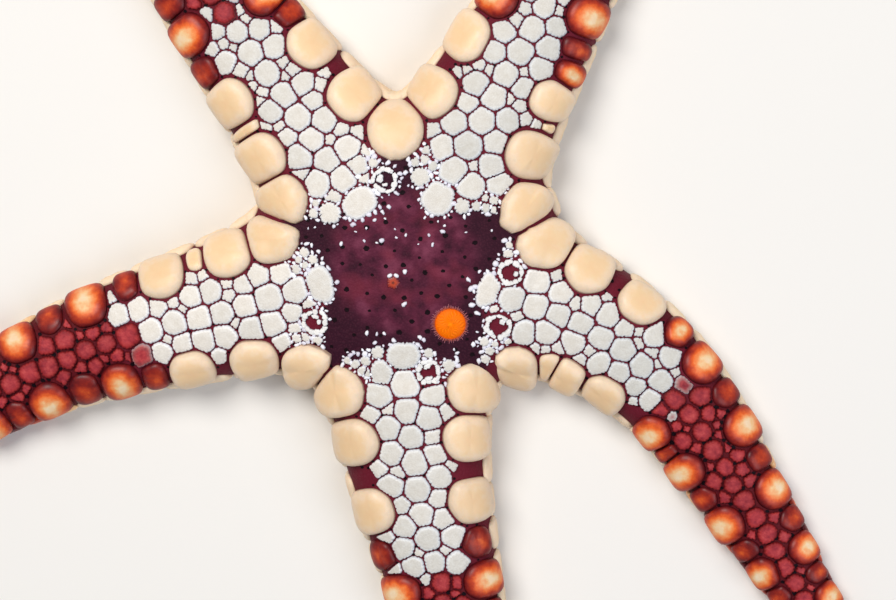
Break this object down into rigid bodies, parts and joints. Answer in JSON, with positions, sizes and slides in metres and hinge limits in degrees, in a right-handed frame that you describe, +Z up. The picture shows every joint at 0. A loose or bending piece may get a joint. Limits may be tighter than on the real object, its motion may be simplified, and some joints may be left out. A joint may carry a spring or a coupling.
{
  "type": "sea star",
  "caption": "Life-size pebbled sea star lying flat, with bent tapering arms, marginal and back plates, a sieve plate and furrows underneath.",
  "frame": {"origin": "on the floor under the middle of the rectangle that the star covers, seen from above", "axes": "+Z up out of the star's back; +Y and +X as up and right in a view from above, with the sieve plate towards -Y of the disc's middle"},
  "size_m": [0.0786, 0.0924, 0.0063],
  "materials": {
    "disc": "satin purple skin with white plates at its border",
    "madreporite": "matte orange, finely grooved",
    "arm_base": "satin cream and white plates with dark maroon grooves",
    "arm_outer": "satin red plates, cream-haloed at the margins"
  },
  "bodies": {
    "root": {"disc": "disc", "madreporite": "madreporite", "arm_a_root": "arm_base", "arm_a_middle": "arm_outer", "arm_a_tip": "arm_outer", "arm_b_root": "arm_base", "arm_b_middle": "arm_outer", "arm_b_tip": "arm_outer", "arm_c_root": "arm_base", "arm_c_middle": "arm_outer", "arm_c_tip": "arm_outer", "arm_d_root": "arm_base", "arm_d_middle": "arm_outer", "arm_d_tip": "arm_outer", "arm_e_root": "arm_base", "arm_e_middle": "arm_outer", "arm_e_tip": "arm_outer"}
  },
  "joints": []
}
